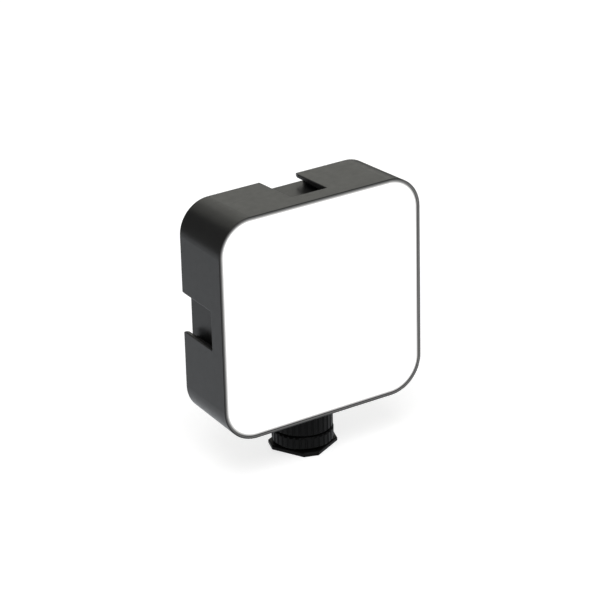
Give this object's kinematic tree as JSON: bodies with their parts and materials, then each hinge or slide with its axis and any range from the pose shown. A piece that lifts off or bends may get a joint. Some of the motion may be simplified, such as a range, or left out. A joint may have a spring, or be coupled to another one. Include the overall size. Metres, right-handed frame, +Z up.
{
  "type": "on-camera led panel light",
  "caption": "Square pocket LED panel light with accessory shoes in its sides, rear keys, and a screw-on shoe adapter with thumb nuts.",
  "frame": {"origin": "centre of the shoe foot's underside, on the axis of the adapter's screw", "axes": "+Z up along the screw, lit face looks along -Y, +X to the right as seen from the front"},
  "size_m": [0.073, 0.0248, 0.0875],
  "materials": {
    "case_plastic": "satin moulded",
    "cover_plastic": "fine-grained moulded",
    "opal_diffuser": "satin opal, lit",
    "white_reflector": "matt white",
    "adhesive_tape": "matt",
    "led_board_core": "white solder mask",
    "led_package": "phosphor, lit",
    "battery_foil": "satin laminate",
    "circuit_board": "green solder mask",
    "red_insulation": "smooth",
    "black_insulation": "smooth",
    "connector_nylon": "natural",
    "chip_epoxy": "matt",
    "ferrite": "matt",
    "ceramic_chip": "matt",
    "black_screw": "black oxide",
    "zinc_screw": "zinc plated",
    "port_steel": "drawn",
    "port_tongue": "matt",
    "switch_body": "matt",
    "switch_plunger": "satin",
    "key_plastic": "satin",
    "light_pipe": "clear frosted",
    "indicator_emitter": "clear",
    "brass": "turned",
    "nut_plastic": "moulded",
    "adapter_metal": "black anodised"
  },
  "bodies": {
    "adapter": {"foot_plate": "adapter_metal", "foot_screw": "adapter_metal"},
    "head": {"housing_shell": "case_plastic", "rear_cover": "cover_plastic", "rear_cover_screws": "black_screw", "diffuser_panel": "opal_diffuser", "diffuser_tape": "adhesive_tape", "reflector_tray": "white_reflector", "led_board": "led_board_core", "led_chips": "led_package", "led_board_screws": "zinc_screw", "battery_cell": "battery_foil", "battery_tape": "adhesive_tape", "battery_protection_board": "circuit_board", "battery_lead_positive": "red_insulation", "battery_lead_negative": "black_insulation", "battery_plug": "connector_nylon", "battery_header": "connector_nylon", "led_lead_positive": "red_insulation", "led_lead_negative": "black_insulation", "main_board": "circuit_board", "main_board_screws": "zinc_screw", "usb_c_shell": "port_steel", "usb_c_tongue": "port_tongue", "switch_bodies": "switch_body", "indicator_leds": "indicator_emitter", "indicator_light_pipe": "light_pipe", "power_inductor": "ferrite", "driver_chips": "chip_epoxy", "board_passives": "ceramic_chip"},
    "head_insert": {"tripod_insert": "brass"},
    "lower_bush": {"lower_nut_bush": "brass"},
    "lower_nut": {"lower_thumb_nut": "nut_plastic"},
    "upper_bush": {"upper_nut_bush": "brass"},
    "upper_nut": {"upper_thumb_nut": "nut_plastic"},
    "plus_key": {"plus_button": "key_plastic", "plus_plunger": "switch_plunger"},
    "power_key": {"power_button": "key_plastic", "power_plunger": "switch_plunger"},
    "minus_key": {"minus_button": "key_plastic", "minus_plunger": "switch_plunger"}
  },
  "joints": [
    {"name": "head_rise", "type": "slide", "parent": "adapter", "child": "head_insert", "axis": [0, 0, 1], "range_m": [0, 0.00382]},
    {"name": "head_turn", "type": "hinge", "parent": "head_insert", "child": "head", "pos_m": [0, 0, 0.02], "axis": [0, 0, 1], "range_deg": [0, 1080]},
    {"name": "lower_nut_travel", "type": "slide", "parent": "adapter", "child": "lower_bush", "axis": [0, 0, 1], "range_m": [-0.000458, 0]},
    {"name": "lower_nut_turn", "type": "hinge", "parent": "lower_bush", "child": "lower_nut", "pos_m": [0, 0, 0.004], "axis": [0, 0, 1], "range_deg": [-130, 0]},
    {"name": "upper_nut_travel", "type": "slide", "parent": "adapter", "child": "upper_bush", "axis": [0, 0, 1], "range_m": [-0.0003, 0]},
    {"name": "upper_nut_turn", "type": "hinge", "parent": "upper_bush", "child": "upper_nut", "pos_m": [0, 0, 0.01], "axis": [0, 0, 1], "range_deg": [-85.1, 0]},
    {"name": "plus_press", "type": "slide", "parent": "head", "child": "plus_key", "axis": [0, -1, 0], "range_m": [0, 0.0003], "stiffness_N_per_m": 4000, "springref_m": -0.0001},
    {"name": "power_press", "type": "slide", "parent": "head", "child": "power_key", "axis": [0, -1, 0], "range_m": [0, 0.0003], "stiffness_N_per_m": 4000, "springref_m": -0.0001},
    {"name": "minus_press", "type": "slide", "parent": "head", "child": "minus_key", "axis": [0, -1, 0], "range_m": [0, 0.0003], "stiffness_N_per_m": 4000, "springref_m": -0.0001}
  ],
  "couplings": [
    {"joint": "head_rise", "follows": "head_turn", "m_per_rad": 0.00020213},
    {"joint": "lower_nut_turn", "follows": "lower_nut_travel", "rad_per_m": 4947.4},
    {"joint": "upper_nut_turn", "follows": "upper_nut_travel", "rad_per_m": 4947.4}
  ]
}
